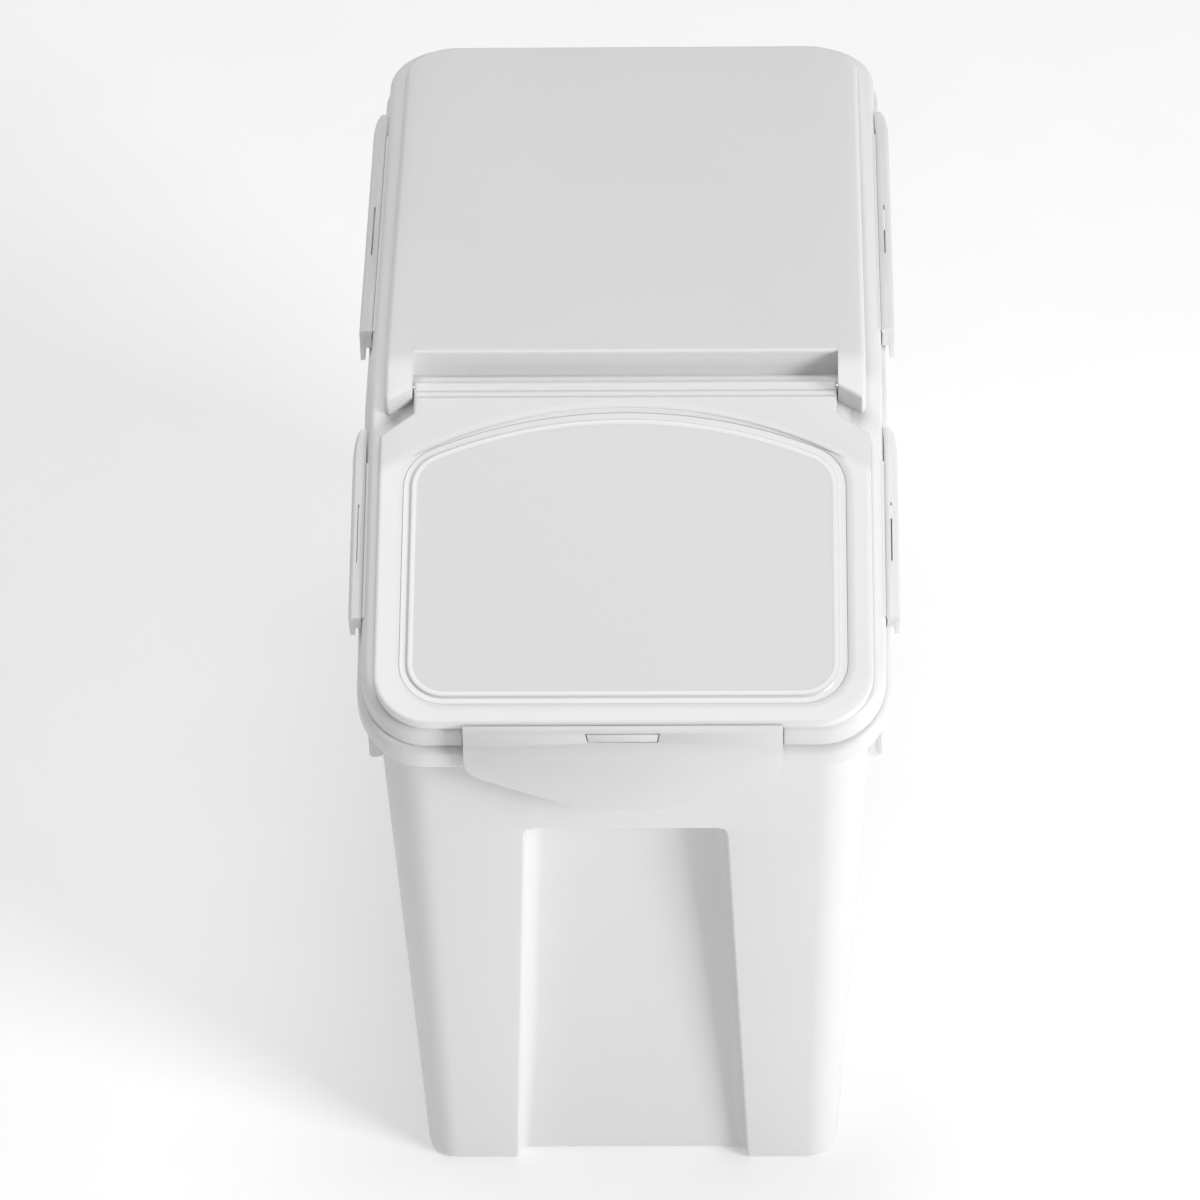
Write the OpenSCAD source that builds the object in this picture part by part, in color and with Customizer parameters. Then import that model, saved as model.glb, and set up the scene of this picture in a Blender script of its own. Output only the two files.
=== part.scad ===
// Rice bin with a flip lid: a tapered tub on two hidden rear wheels, a lid held by four side
// latches, a scoop door with a clear pane and a front latch, and a measuring cup under the lid.
// Millimetres, +Z up, the front faces -Y. The origin is on the floor under the bin's middle.

/* [Whole bin] */
// Overall length, from the front latch to the rear edge of the rim
bin_l = 354; // [350:1:358]
// Overall width over the closed side latches
bin_w = 200; // [196:1:204]
// Height of the level rear rim above the floor
rim_z = 288; // [280:1:300]
// Length of the level rear part, from the rear edge to the crease
level_l = 214.5; // [212:0.5:217]
// Slope of the front part of the rim, in degrees
front_slope = 21.6; // [21:0.2:22.2]

/* [Tub] */
// Wall thickness of the tub
wall = 2.2; // [1.8:0.1:2.4]
// How far each side wall leans in from the rim down to the foot
side_draft = 11; // [9:0.5:12]
// How far the front wall leans in down to the foot
front_draft = 9.7; // [8.5:0.1:10.5]
// How far the rear wall leans in down to the foot
rear_draft = 11.5; // [10:0.5:12.5]
// Height of the hollow under the tub's floor
skirt_h = 13; // [12.6:0.1:13.4]
// Corner radius of the wall under the rim
corner_r = 19; // [18:0.5:20]
// Corner radius of the wall at the foot
foot_r = 12; // [11:0.5:13]
// Depth of the side grips below the rim
grip_drop = 35; // [20:1:38]

/* [Front recess] */
// Height of the hand recess in the front wall
recess_h = 179.3; // [170:0.1:185]
// Width of the recess at the foot
recess_foot_w = 87.4; // [84:0.2:90]
// Width of the recess at its top
recess_top_w = 73; // [70:0.5:76]
// Depth of the recess at the foot
recess_foot_d = 5.5; // [5.2:0.1:6.5]
// Depth of the recess at its top
recess_top_d = 15; // [13:0.5:16]

/* [Lid] */
// Height of the raised rear panel at the crease
panel_h = 11; // [10.5:0.1:12]
// Height of the raised rear panel at its rear edge
panel_rear_h = 3; // [2.6:0.1:3.6]
// How far the raised rear panel stands in from the overall width, on each side
panel_inset = 11.5; // [11:0.1:12]
// Width of the opening in the sloped deck
mouth_w = 140; // [120:1:144]
// Width of the deck left in front of the opening
mouth_front = 14.5; // [13:0.5:30]

/* [Scoop door] */
// How far the door stands in from the overall width, on each side
door_inset = 10; // [9.5:0.1:11]
// Reach of the door past the rim's front, along the slope
door_over = 6.3325; // [6:0.0001:6.8]
// Width of the door's frame beside the clear pane's raised field
pane_frame = 12.7; // [12:0.1:15]
// Radius of the pane's curved rear edge
pane_arc_r = 169; // [165:1:174]
// Hinge pin radius
pin_r = 1.2; // [1.1:0.05:1.25]

/* [Latches] */
// Width of the front latch
front_latch_w = 114.6; // [108:0.2:118]
// Length of the rear side latches
rear_leaf_l = 137; // [130:1:140]
// Length of the front side latches
front_leaf_l = 78.5; // [72:0.5:80]
// Height of the side latches
leaf_h = 15.5; // [14.5:0.1:16]
// Thickness of the latch leaves
leaf_t = 1.8; // [1.6:0.1:1.9]

/* [Cup and wheels] */
// Width of the measuring cup over its flange
cup_w = 86; // [82:0.5:88]
// Length of the measuring cup over its flange
cup_l = 83.5; // [80:0.5:84]
// Height of the measuring cup
cup_h = 42; // [36:1:48]
// Wheel radius
wheel_r = 10; // [9.5:0.1:10]
// Axle radius
axle_r = 1.5; // [1.3:0.1:1.6]

/* [Fits] */
// Gap between separate pieces that face each other
gap = 0.3; // [0.25:0.01:0.35]
// Radial clearance of a turning fit
run_fit = 0.05; // [0.03:0.01:0.08]
// Clearance of a pressed or seated fit
seat_fit = 0.01; // [0.01:0.01:0.02]

/* [Hidden] */

white = [0.95, 0.95, 0.94];
milky = [0.93, 0.94, 0.95];
smoke = [0.62, 0.64, 0.66, 0.6];
silicone = [0.85, 0.86, 0.87];
steel = [0.72, 0.73, 0.75];
dark = [0.25, 0.26, 0.28];

$fn = 64;
arc_n = 8;

// The rim's cross-section. Offsets are measured outwards from the top of the wall, depths
// downwards from the lid's flat top.
bead_out = 7;
bead_top = 9.4;
bead_low = 17.4;
lip_out = 2.9;
lip_in = 0.9;
lip_top = 4.2;
skirt_out = 5.2;
skirt_in = lip_out + gap;
skirt_low = bead_top - 0.4;
deck_t = 2;
rib_out = lip_in - 0.4;
rib_in = rib_out - 1.4;
rib_low = 6.5;
band_in = -6;
leaf_out = 10.4;
knuckle_r = 1.2;
knuckle_out = skirt_out + gap + knuckle_r;
nub_out = leaf_out - leaf_t - 0.4;

latch_reach = 4.5;
latch_out = 3.02017;
top_hw = bin_w / 2 - leaf_out;
top_yr = bin_l / 2 - bead_out;
top_yf = -bin_l / 2 + latch_reach + bead_out;
kink_y = bin_l / 2 - level_l;
slope_l = (kink_y - top_yf) / cos(front_slope);
kink_r = 4;
wall_end = 18.4;
floor_t = 3;

recess_r = 5;
notch_n = 6;
grip_y0 = top_yf + corner_r + 0.4;
grip_y1 = top_yr - 107.5;

deck_front_s = slope_l - 4.1675;
deck_inset = 3.5;
deck_r = corner_r - 6;
mouth_s = 27;
mouth_r = 12;
mouth_rim = 1.6;

hinge_s = 4.5;
hinge_u = 2.6;
barrel_r = 1.88;
door_hw = bin_w / 2 - door_inset;
door_l = slope_l + door_over;
tab_hw = door_hw - 15;
tab_s = 13.7;
shoulder_s = 25.3;
door_r = corner_r + 2;
dish_s = door_l + 28.4;
dish_r = 160;
door_top = 4.5;
door_low = 2.4;
door_skirt = 0.4;
pane_hw = door_hw - pane_frame;
pane_s = 19.1;
pane_front_s = door_l - 12;
pane_r = 13;
seal_in = 6;
seal_w = 3.2;

panel_hw = bin_w / 2 - panel_inset;
panel_r = 20;
panel_edge = 3;
panel_yf = kink_y + 3.5;
panel_yr = top_yr + 1.5;
panel_t = 2;
ear_x = tab_hw + 3.3;
ear_s = 9;
ear_tip_s = 14.3;
pin_in = tab_hw - 8.7;
pin_out = ear_x + 5.7;

latch_pin_s = door_l + gap + 1.3;
latch_pin_u = 3;
latch_pin_r = 1.3;

// The side latches lie about the middles of the level part and of the slope.
rear_leaf_y1 = (top_yr - kink_y) / 2 - 4.25 + rear_leaf_l / 2;
rear_slot_y = rear_leaf_y1 - rear_leaf_l + 46.7;
rear_slot_l = 30.2;
front_leaf_s1 = slope_l / 2 - 9.5837 + front_leaf_l / 2;
front_slot_s = front_leaf_s1 - front_leaf_l + 31.4;
front_slot_l = 24.2;
nub_side = 2 * gap;
nub_low = -15;
nub_high = -11.5;

flange_z = rim_z - 11.7;
cup_y0 = top_yr - cup_l - 9;
cup_wall = 1.6;
cup_r = 9;

pod_x = 54;
pod_hw = 10;
pod_hl = wheel_r + 4;
pod_y = top_yr - rear_draft - pod_hl - 4;
pod_wall = 2.5;
pod_top = 2 * wheel_r + 4;
pod_low = 5;

// Height of the lid's flat top over the depth of the bin, with a small radius at the crease.
function deck(y) =
    y >= kink_y + kink_r ? rim_z
    : y <= kink_y - kink_r ? rim_z - (kink_y - y) * tan(front_slope)
    : rim_z - tan(front_slope) * pow(kink_y + kink_r - y, 2) / (4 * kink_r);

// A point of the front slope: s runs down it from the crease, u stands square on it.
function slope_yz(s, u) = [
    kink_y - s * cos(front_slope) - u * sin(front_slope),
    rim_z - s * sin(front_slope) + u * cos(front_slope)];

function arc(cx, cy, r, a0, a1, n = arc_n) =
    [for (i = [0 : n]) let (a = a0 + (a1 - a0) * i / n) [cx + r * cos(a), cy + r * sin(a)]];

// Stations along each straight side, as a share of its length from front to rear.
side_lo = top_yf + corner_r;
side_hi = top_yr - corner_r;
side_y = [grip_y1 + 3, grip_y1 + 2.2, grip_y1, kink_y + kink_r, kink_y + kink_r / 2, kink_y,
    kink_y - kink_r / 2, kink_y - kink_r, grip_y0 + 4, grip_y0 + 1.2, grip_y0];
side_t = [for (y = side_y) (y - side_lo) / (side_hi - side_lo)];

// Closed outline of a rounded rectangle, from the rear centre round by the left side.
function loop(hw, yf, yr, rf, rr, front) =
    let (lo = yf + rf, hi = yr - rr)
    concat(
        [[0, yr]],
        arc(-hw + rr, yr - rr, rr, 90, 180),
        [for (t = side_t) [-hw, lo + t * (hi - lo)]],
        arc(-hw + rf, yf + rf, rf, 180, 270),
        front,
        arc(hw - rf, yf + rf, rf, 270, 360),
        [for (i = [len(side_t) - 1 : -1 : 0]) [hw, lo + side_t[i] * (hi - lo)]],
        arc(hw - rr, yr - rr, rr, 0, 90));

// Points across the front, first as a straight line, then round the recess.
function flat_front(w, y) =
    [for (k = [0 : 2 * notch_n - 1])
        let (j = k < notch_n ? k : 2 * notch_n - 1 - k, side = k < notch_n ? -1 : 1)
        [side * w * (1 - 0.04 * j), y]];

function notch_front(w, y, d, t) =
    [for (k = [0 : 2 * notch_n - 1])
        let (
            j = k < notch_n ? k : 2 * notch_n - 1 - k,
            side = k < notch_n ? -1 : 1,
            a = 90 * (j - 1) / (notch_n - 2))
        j == 0 ? [side * (w + t), y + t]
        : [side * (w - recess_r + (recess_r + t) * cos(a)),
            y + max(t + 0.15 * j, d - recess_r + (recess_r + t) * sin(a))]];

front_at = 1 + (arc_n + 1) + len(side_t) + (arc_n + 1);

function recess_hw(z) =
    (recess_foot_w + (recess_top_w - recess_foot_w) * z / recess_h) / 2;
function recess_d(z) = recess_foot_d + (recess_top_d - recess_foot_d) * z / recess_h;
function front_y(z) = top_yf + front_draft * (1 - z / (deck(top_yf) - wall_end));

// One level ring of the tub's wall, set in by t. With a recess it takes the notch's width cut
// by w_cut, without one it runs straight.
function wall_ring(z, t, notched, w_cut = 0) =
    let (
        w = recess_hw(min(z, recess_h)) - w_cut,
        b = loop(top_hw - side_draft - t, top_yf + front_draft + t, top_yr - rear_draft - t,
            foot_r - t, foot_r - t, flat_front(w, 0)),
        c = loop(top_hw - t, top_yf + t, top_yr - t, corner_r - t, corner_r - t,
            flat_front(w, 0)),
        f = notched ? notch_front(w, front_y(z), recess_d(min(z, recess_h)), t)
            : flat_front(w + t, front_y(z) + t))
    [for (i = [0 : len(b) - 1])
        let (m = i - front_at, k = z / (deck(c[i][1]) - wall_end))
        m >= 0 && m < 2 * notch_n ? [f[m][0], f[m][1], z]
        : [b[i][0] + (c[i][0] - b[i][0]) * k, b[i][1] + (c[i][1] - b[i][1]) * k, z]];

// A level ring with a straight front line behind the recess, for the floor's two faces.
function floor_ring(z, t, back) =
    let (
        k = z / rim_z,
        yf = front_y(z) + recess_d(z) + back)
    [for (p = loop(top_hw - side_draft * (1 - k) - t, yf, top_yr - rear_draft * (1 - k) - t,
            foot_r - t, foot_r - t, flat_front(recess_hw(z), yf)))
        [p[0], p[1], z]];

// One ring of the rim, at an offset from the wall's top and a depth below the deck. The grips
// hang lower along the sides.
function grip_at(p) =
    abs(p[0]) < top_hw ? 0
    : p[1] > grip_y1 + 2.9 || p[1] < grip_y0 - 0.1 ? 0
    : p[1] > grip_y1 + 2 ? grip_drop - 2.5
    : p[1] > grip_y1 - 1 ? grip_drop
    : p[1] < grip_y0 + 0.6 ? grip_drop - 3
    : p[1] < grip_y0 + 2 ? grip_drop - 1.2
    : grip_drop;

function rim_loop(o, front) =
    loop(top_hw + o, top_yf - o, top_yr + o, corner_r + o, corner_r + o, front);

function tub_rim(o, h, grip = 0) =
    [for (p = rim_loop(o, flat_front(recess_top_w / 2, top_yf - o)))
        [p[0], p[1], deck(p[1]) - h - grip * grip_at(p)]];

function lid_ring(o, h) =
    [for (p = rim_loop(o, [[0, top_yf - o]])) [p[0], p[1], deck(p[1]) - h]];

// A solid skinned over rings of equal point counts, either capped or joined end to end.
module skin(rings, closed = false) {
    n = len(rings[0]);
    m = len(rings);
    sides = [for (k = [0 : (closed ? m - 1 : m - 2)], i = [0 : n - 1])
        let (
            a = k * n + i,
            b = k * n + (i + 1) % n,
            c = ((k + 1) % m) * n + (i + 1) % n,
            d = ((k + 1) % m) * n + i)
        each [[c, b, a], [d, c, a]]];
    ends = [[for (i = [0 : n - 1]) i], [for (i = [n : -1 : 1]) (m - 1) * n + i % n]];
    polyhedron(points = [for (r = rings) for (p = r) p],
        faces = closed ? sides : concat(ends, sides));
}

module both_sides() {
    children();
    mirror([1, 0, 0]) children();
}

module on_slope() {
    translate([0, kink_y, rim_z]) rotate([front_slope, 0, 0]) children();
}

module along_x(x0, x1) {
    translate([x0, 0, 0]) rotate([90, 0, 90]) linear_extrude(x1 - x0) children();
}

module along_y(y0, y1) {
    translate([0, y1, 0]) rotate([90, 0, 0]) linear_extrude(y1 - y0) children();
}

module block(x0, x1, y0, y1, z0, z1) {
    translate([x0, y0, z0]) cube([x1 - x0, y1 - y0, z1 - z0]);
}

module tub_shell() {
    foot = 1.2;
    skin(concat(
        [floor_ring(skirt_h, wall + 0.6, wall + 0.4)],
        [wall_ring(0, foot + 1.6, true)],
        [wall_ring(0, foot, true)],
        [wall_ring(0.45, foot * 0.3, true)],
        [wall_ring(1.6, 0, true)],
        [wall_ring(recess_h - 3, 0, true)],
        [wall_ring(recess_h - 0.9, 0, true, 0.9)],
        [wall_ring(recess_h, 0, true, 3)],
        [wall_ring(recess_h + 0.15, 0, false, 3)],
        [tub_rim(0, wall_end)],
        [tub_rim(0, bead_top + deck_t + 0.2)],
        [tub_rim(2, bead_top + deck_t)],
        [tub_rim(2, bead_top + deck_t + 0.15, 1)],
        [tub_rim(3.9, bead_top + deck_t + 0.15, 1)],
        [tub_rim(3.9, bead_top + deck_t)],
        [tub_rim(bead_out - 1.8, bead_top + deck_t)],
        [tub_rim(bead_out - 1.8, bead_low)],
        [tub_rim(bead_out - 0.6, bead_low)],
        [tub_rim(bead_out, bead_low - 0.8)],
        [tub_rim(bead_out, bead_top + 0.8)],
        [tub_rim(bead_out - 0.8, bead_top)],
        [tub_rim(lip_out, bead_top)],
        [tub_rim(lip_out, lip_top + 0.4)],
        [tub_rim(lip_out - 0.4, lip_top)],
        [tub_rim(lip_in + 0.4, lip_top)],
        [tub_rim(lip_in, lip_top + 0.4)],
        [tub_rim(lip_in, rib_low + 0.5)],
        [tub_rim(-wall, rib_low + 4)],
        [tub_rim(-wall, wall_end)],
        [wall_ring(recess_h + wall + 0.15, wall, false, 3)],
        [wall_ring(recess_h + wall, wall, true, 3)],
        [wall_ring(recess_h + wall - 3, wall, true)],
        [wall_ring(skirt_h + floor_t + 2, wall, true)],
        [floor_ring(skirt_h + floor_t, wall + 1, wall + 1)]));
}

module nub_at(y0, y1) {
    block(top_hw + bead_out - 1, top_hw + nub_out, y0, y1, nub_low, nub_high);
}

module bin_body() {
    color(white) difference() {
        union() {
            tub_shell();
            both_sides() {
                block(pod_x - pod_hw, pod_x + pod_hw, pod_y - pod_hl, pod_y + pod_hl,
                    pod_low, pod_top);
                translate([0, kink_y, rim_z])
                    nub_at(rear_slot_y + nub_side, rear_slot_y + rear_slot_l - nub_side);
                on_slope()
                    nub_at(-front_slot_s - front_slot_l + nub_side, -front_slot_s - nub_side);
            }
        }
        both_sides() {
            block(pod_x - pod_hw + pod_wall, pod_x + pod_hw - pod_wall,
                pod_y - pod_hl + pod_wall, pod_y + pod_hl - pod_wall,
                pod_low - 1, pod_top - pod_wall);
            translate([pod_x - pod_hw - 1, pod_y, wheel_r]) rotate([0, 90, 0])
                cylinder(r = axle_r + seat_fit, h = 2 * pod_hw + 2);
        }
    }
}

module lid_rim() {
    skin([
        lid_ring(skirt_out, skirt_low),
        lid_ring(skirt_out, 2.8),
        lid_ring(skirt_out - 0.3, 1.4),
        lid_ring(skirt_out - 1, 0.5),
        lid_ring(skirt_out - 2.2, 0),
        lid_ring(band_in, 0),
        lid_ring(band_in, deck_t),
        lid_ring(rib_in, deck_t),
        lid_ring(rib_in, rib_low),
        lid_ring(rib_out, rib_low),
        lid_ring(rib_out, deck_t),
        lid_ring(skirt_in, deck_t),
        lid_ring(skirt_in, skirt_low)], closed = true);
}

function rounded(hw, y0, y1, r) = concat(
    arc(hw - r, y1 - r, r, 0, 90),
    arc(-hw + r, y1 - r, r, 90, 180),
    arc(-hw + r, y0 + r, r, 180, 270),
    arc(hw - r, y0 + r, r, 270, 360));

module slab(hw, y0, y1, r, z0, z1) {
    translate([0, 0, z0]) linear_extrude(z1 - z0) polygon(rounded(hw, y0, y1, r));
}

// The raised panel is skinned across the width from side profiles. Beyond the notch walls the
// profiles run on past the crease as the hinge ears.
function panel_rear_y(x, hw, r, y) =
    abs(x) <= hw - r ? y
    : y - r + sqrt(max(0, r * r - pow(abs(x) - (hw - r), 2)));
function edge_drop(x) =
    let (e = max(0, abs(x) - (panel_hw - panel_edge)))
    panel_edge - sqrt(max(0, panel_edge * panel_edge - e * e));
function panel_top(y) =
    rim_z + panel_rear_h + (panel_h - panel_rear_h) * (panel_yr - y) / (panel_yr - panel_yf);
function ear_end(x) =
    let (tip = panel_hw - 1.5)
    abs(x) <= tip ? ear_s + (ear_tip_s - ear_s) * (abs(x) - ear_x) / (tip - ear_x)
    : ear_tip_s - 0.8 * pow(abs(x) - tip, 2);

function panel_side(x) =
    let (
        d = edge_drop(x),
        yr = panel_rear_y(x, panel_hw, panel_r, panel_yr),
        s = ear_end(x),
        ear = abs(x) > ear_x,
        crest = kink_y - (panel_h - d) * tan(front_slope / 2),
        foot = rim_z - 1)
    [
        ear ? [kink_y, foot] : [panel_yf + 2, foot],
        [yr, foot],
        [yr, panel_top(yr) - d - 0.5],
        [yr - 1.2, panel_top(yr - 1.2) - d],
        ear ? [crest, rim_z + panel_h - d] : [panel_yf + 1, panel_top(panel_yf + 1)],
        ear ? slope_yz(s - 1.2, panel_h - d) : [panel_yf + 0.3, panel_top(panel_yf) - 0.35],
        ear ? slope_yz(s, panel_h - d - 1.2) : [panel_yf, panel_top(panel_yf) - 1],
        ear ? slope_yz(s, -1) : [panel_yf, foot]];

module panel_solid() {
    half = [0, panel_hw - panel_r, panel_hw - 15, ear_x - 0.02, ear_x + 0.02, panel_hw - 6,
        panel_hw - panel_edge, panel_hw - 1.5, panel_hw - 0.4, panel_hw];
    xs = concat([for (i = [len(half) - 1 : -1 : 1]) -half[i]], half);
    skin([for (x = xs) [for (p = panel_side(x)) [x, p[0], p[1]]]]);
}

module panel_hollow() {
    in = panel_t + 0.8;
    hw = panel_hw - in;
    r = panel_r - in;
    half = [0, hw - r, hw - 11, hw - 6, hw - 2, hw];
    xs = concat([for (i = [len(half) - 1 : -1 : 1]) -half[i]], half);
    y0 = panel_yf + panel_t;
    skin([for (x = xs) let (y1 = panel_rear_y(x, hw, r, panel_yr - in)) [
        [x, y0, rim_z - 4],
        [x, y1, rim_z - 4],
        [x, y1, panel_top(y1) - panel_t],
        [x, y0, panel_top(y0) - panel_t]]]);
}

module sloped_deck() {
    low = -1.75;
    high = -0.15;
    lip = -6;
    on_slope() difference() {
        union() {
            slab(top_hw - deck_inset, -deck_front_s, 1.5, deck_r, low, high);
            slab(mouth_w / 2 + mouth_rim, -deck_front_s + mouth_front - mouth_rim,
                -mouth_s + mouth_rim, mouth_r + mouth_rim, lip, low + 0.5);
        }
        slab(mouth_w / 2, -deck_front_s + mouth_front, -mouth_s, mouth_r, lip - 1, 1);
    }
    block(-top_hw + 5.5, top_hw - 5.5, kink_y - 0.6, panel_yf + panel_t, rim_z - 1.7, rim_z - 0.2);
}

module latch_catch() {
    p = slope_yz(latch_pin_s, latch_pin_u);
    along_x(-12, 12) polygon([
        [top_yf - skirt_out + 1, p[1] - 3.4],
        [top_yf - skirt_out - 3.6, p[1] - 2.6],
        [top_yf - skirt_out - 3.6, p[1] - 1.9],
        [top_yf - skirt_out + 1, p[1] - 1.9]]);
}

module lid_frame() {
    color(white) difference() {
        union() {
            lid_rim();
            sloped_deck();
            difference() {
                panel_solid();
                panel_hollow();
            }
        }
        both_sides() on_slope() translate([ear_x - 1, -hinge_s, hinge_u]) rotate([0, 90, 0])
            cylinder(r = pin_r + run_fit, h = pin_out + 0.2 - ear_x + 1);
    }
}

module lid_gasket() {
    high = deck_t + 0.05;
    low = lip_top - gap;
    color(silicone) skin([
        lid_ring(lip_out, low),
        lid_ring(lip_out, high),
        lid_ring(lip_in, high),
        lid_ring(lip_in, low)], closed = true);
}

// The pane's field: a rounded front, straight sides and one wide arc at the rear, grown by e.
module pane_field(e, u0, u1) {
    intersection() {
        slab(pane_hw + e, -pane_front_s - e, 20, pane_r + e, u0, u1);
        translate([0, -pane_s - pane_arc_r, u0 - 1])
            cylinder(r = pane_arc_r + e, h = u1 - u0 + 2, $fn = 180);
    }
}

function door_half(e) = concat(
    [[tab_hw - e, -hinge_s - e], [tab_hw - e, -tab_s - 0.4 * e],
        [door_hw - e, -shoulder_s - 0.4 * e]],
    arc(door_hw - door_r, -door_l + door_r, door_r - e, 0, -90));

module door_plate(e, u0, u1) {
    right = door_half(e);
    left = [for (i = [len(right) - 1 : -1 : 0]) [-right[i][0], right[i][1]]];
    translate([0, 0, u0]) linear_extrude(u1 - u0) polygon(concat(right, left));
}

module door() {
    rebate = 3.6;
    color(milky) on_slope() difference() {
        union() {
            door_plate(0, door_low, door_top);
            difference() {
                door_plate(0, door_skirt, door_low + 0.5);
                door_plate(2, door_skirt - 1, door_low + 1);
            }
            pane_field(rebate + 2.1, 0.9, door_low + 0.4);
            translate([-tab_hw, -hinge_s, hinge_u]) rotate([0, 90, 0])
                cylinder(r = barrel_r, h = 2 * tab_hw);
        }
        intersection() {
            door_plate(2.5, door_top - 0.5, door_top + 1);
            translate([0, -dish_s, 0]) cylinder(r = dish_r, h = 20, $fn = 180);
        }
        pane_field(-1.3, -1, door_top + 1);
        pane_field(rebate, 2, door_top + 1.2);
        both_sides() translate([pin_in - gap, -hinge_s, hinge_u]) rotate([0, 90, 0])
            cylinder(r = pin_r + seat_fit, h = 20);
    }
}

module door_window() {
    color(smoke) on_slope() {
        pane_field(3.5, 2.05, 3.4);
        pane_field(0, 3, 3.9);
    }
}

module door_gasket() {
    color(silicone) on_slope() difference() {
        pane_field(seal_in + seal_w, gap, door_low - 0.05);
        pane_field(seal_in, gap - 1, door_low + 1);
    }
}

module hinge_pin() {
    color(steel) on_slope() translate([pin_in, -hinge_s, hinge_u]) rotate([0, 90, 0])
        cylinder(r = pin_r, h = pin_out - pin_in);
}

module front_latch() {
    p = slope_yz(latch_pin_s, latch_pin_u);
    face = p[0] - latch_out;
    back = face + leaf_t + 0.5;
    hw = front_latch_w / 2;
    z = p[1];
    color(milky) difference() {
        union() {
            along_x(-hw, hw) translate(p) circle(r = latch_pin_r);
            intersection() {
                along_x(-hw, hw) polygon([
                    [p[0], z + 1.25],
                    [face + 2.05, z + 1.15],
                    [face + 1.3, z + 0.75],
                    [face + 0.75, z + 0.1],
                    [face + 0.5, z - 0.8],
                    [face + 0.5, z - 6.2],
                    [face, z - 7.4],
                    [face, z - 11],
                    [face + 0.5, z - 12.2],
                    [face + 0.5, z - 50],
                    [back, z - 50],
                    [back, z - 1.2],
                    [p[0], z - 1.25]]);
                along_y(face - 1, p[0] + 1) polygon(concat(
                    [[hw, z + 5], [hw, z - 13]],
                    [[hw - 0.7, z - 17.4], [hw - 2.4, z - 20], [hw - 5, z - 21.7]],
                    [[hw - 18.1, z - 27.2], [hw - 34.1, z - 33.7], [14, z - 36.2]],
                    [[9.6, z - 37.2], [-9.6, z - 37.2]],
                    [[-14, z - 36.2], [-hw + 34.1, z - 33.7], [-hw + 18.1, z - 27.2]],
                    [[-hw + 5, z - 21.7], [-hw + 2.4, z - 20], [-hw + 0.7, z - 17.4]],
                    [[-hw, z - 13], [-hw, z + 5]]));
            }
        }
        block(-13.5, 13.5, face - 1, back + 0.2, z - 4.3, z - 1.5);
    }
}

// A side latch leaf in the rim's own plane, with its film hinge as a round bead.
module side_leaf(y0, y1, slot0, slot1) {
    out = top_hw + leaf_out;
    back = out - leaf_t;
    pin = top_hw + knuckle_out;
    h = skirt_out - 3.5;
    difference() {
        union() {
            along_y(y0, y1) translate([pin, -h]) circle(r = knuckle_r);
            along_y(y0, y1) polygon([
                [pin, knuckle_r - h - 0.02],
                [out - 1.2, knuckle_r - h - 0.05],
                [out - 0.35, knuckle_r - h - 0.45],
                [out, knuckle_r - h - 1.4],
                [out, -0.5 - leaf_h],
                [back, -0.5 - leaf_h],
                [back, -h - 1.9],
                [back - 0.7, 0.02 - h - knuckle_r],
                [pin, 0.02 - h - knuckle_r]]);
        }
        block(back - 0.6, back + 0.5, slot0, slot1, -h - 1.6, 1);
    }
}

module rear_leaf() {
    color(milky) translate([0, kink_y, rim_z])
        side_leaf(rear_leaf_y1 - rear_leaf_l, rear_leaf_y1, rear_slot_y, rear_slot_y + rear_slot_l);
}

module front_leaf() {
    color(milky) on_slope() side_leaf(-front_leaf_s1, front_leaf_l - front_leaf_s1,
        -front_slot_s - front_slot_l, -front_slot_s);
}

// The cup rides on two lipped rails that hang from the raised panel.
module cup_holder() {
    in = cup_w / 2 + gap;
    out = in + 2;
    y0 = cup_y0 - 4;
    y1 = cup_y0 + cup_l + gap;
    low = flange_z - gap - 2;
    y2 = y1 + 2;
    seat = panel_t + 0.05;
    color(white) {
        both_sides() {
            along_x(in, out) polygon([
                [y0, low], [y2, low], [y2, panel_top(y2) - seat], [y0, panel_top(y0) - seat]]);
            block(in - 3, out - 0.5, y0, y2, low, flange_z - gap);
        }
        along_y(y1, y2) polygon([
            [-out + 0.5, low], [out - 0.5, low],
            [out - 0.5, panel_top(y2) - seat - 0.1], [-out + 0.5, panel_top(y2) - seat - 0.1]]);
    }
}

function cup_ring(hw, y0, y1, r, z) = [for (p = rounded(hw, y0, y1, r)) [p[0], p[1], z]];

module measuring_cup() {
    hw = cup_w / 2;
    y0 = cup_y0;
    y1 = cup_y0 + cup_l;
    side = 4.7;
    front = 3.5;
    low = flange_z + 2 - cup_h;
    lean = 4;
    t = cup_wall;
    color(milky) skin([
        cup_ring(hw - side - lean - 2, y0 + front + lean + 2, y1 - front - lean - 2, cup_r - 1, low),
        cup_ring(hw - side - lean, y0 + front + lean, y1 - front - lean, cup_r, low + 2),
        cup_ring(hw - side, y0 + front, y1 - front, cup_r, flange_z),
        cup_ring(hw, y0, y1, 6, flange_z),
        cup_ring(hw, y0, y1, 6, flange_z + 2),
        cup_ring(hw - side - t + 0.3, y0 + front + t - 0.3, y1 - front - t + 0.3, 8, flange_z + 2),
        cup_ring(hw - side - lean - t, y0 + front + lean + t, y1 - front - lean - t, 7.4, low + 2.6),
        cup_ring(hw - side - lean - t - 1.5, y0 + front + lean + t + 1.5,
            y1 - front - lean - t - 1.5, 6.5, low + t)]);
}

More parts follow.
